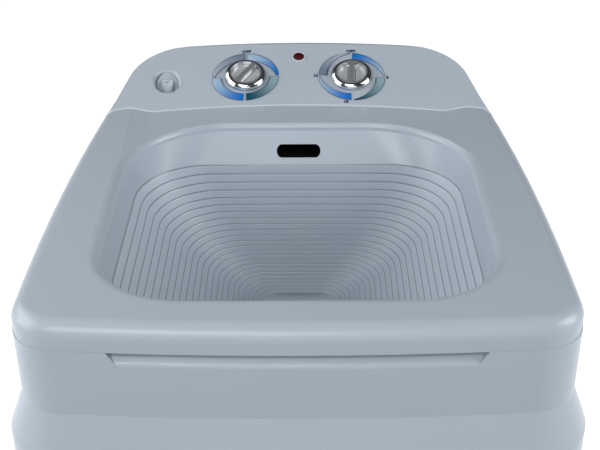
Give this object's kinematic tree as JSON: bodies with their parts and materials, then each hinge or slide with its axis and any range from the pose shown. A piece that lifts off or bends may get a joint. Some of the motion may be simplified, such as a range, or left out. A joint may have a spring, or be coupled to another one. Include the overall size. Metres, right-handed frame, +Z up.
{
  "type": "washing machine",
  "caption": "Top-loading wash-only washing machine with a ribbed hopper tub, a sloped rear console with turning knobs, and a belt-driven pulsator in the tub's well.",
  "frame": {"origin": "on the floor, under the middle of the body's overall box", "axes": "+Z up, the user's front towards -Y, +X to the user's right"},
  "size_m": [0.5508, 0.626, 0.857],
  "materials": {
    "body": "gloss, pale grey",
    "tub": "gloss, pale grey",
    "spout": "satin, off white",
    "knob_chrome": "bright plating",
    "knob_insert": "satin, pale grey",
    "lamp_red": "clear dark red",
    "base": "moulded, grey",
    "rubber": "matt black",
    "switch_black": "moulded, black",
    "steel": "zinc plated",
    "cast": "die cast",
    "bush": "turned",
    "motor_paint": "dark grey enamel"
  },
  "bodies": {
    "cabinet": {"base_screws": "steel", "base_tray": "base", "bearing_housing": "cast", "cabinet_shell": "body", "capacitor": "cast", "capacitor_clamp": "steel", "control_panel": "body", "cord_gland": "switch_black", "drain_pipe": "base", "drain_spigot": "base", "drain_tee": "base", "drive_belt": "rubber", "drive_plate": "steel", "foot_front_left": "rubber", "foot_front_right": "rubber", "foot_rear_left": "rubber", "foot_rear_right": "rubber", "housing_bolts": "steel", "inlet_cup": "body", "inlet_hose": "rubber", "inlet_spout": "spout", "lamp_bezel": "knob_insert", "lamp_holder": "switch_black", "lamp_lens": "lamp_red", "lower_bush": "bush", "motor_bolts": "steel", "motor_frame": "motor_paint", "motor_lead": "rubber", "overflow_hose": "rubber", "panel_screws": "steel", "plate_bolts": "steel", "rear_cover": "base", "rear_cover_screws": "steel", "selector_switch": "switch_black", "shaft_seal": "rubber", "timer_body": "switch_black", "top_cover": "body", "tub_screws": "steel", "upper_bush": "bush", "wash_tub": "tub", "water_box": "base"},
    "selector": {"selector_inserts": "knob_insert", "selector_knob": "knob_chrome", "selector_shaft": "steel"},
    "timer": {"timer_inserts": "knob_insert", "timer_knob": "knob_chrome", "timer_shaft": "steel"},
    "pulsator": {"driven_pulley": "cast", "pulley_nut": "steel", "pulsator": "tub", "pulsator_cap": "tub", "pulsator_shaft": "steel"},
    "motor_rotor": {"motor_pulley": "cast", "motor_shaft": "steel"}
  },
  "joints": [
    {"name": "selector_turn", "type": "hinge", "parent": "cabinet", "child": "selector", "pos_m": [-0.067, 0.23272, 0.8351], "axis": [0.0286, -0.3735, 0.9272], "range_deg": [-52, 128]},
    {"name": "timer_turn", "type": "hinge", "parent": "cabinet", "child": "timer", "pos_m": [0.067, 0.23272, 0.8351], "axis": [-0.0286, -0.3735, 0.9272], "range_deg": [-270, 0]},
    {"name": "pulsator_spin", "type": "hinge", "parent": "cabinet", "child": "pulsator", "pos_m": [0, -0.0555, 0.44], "axis": [0, 0, 1], "continuous": true},
    {"name": "motor_spin", "type": "hinge", "parent": "cabinet", "child": "motor_rotor", "pos_m": [0.19, -0.0555, 0.415], "axis": [0, 0, 1], "continuous": true}
  ],
  "couplings": [
    {"joint": "motor_spin", "follows": "pulsator_spin", "ratio": 4}
  ]
}
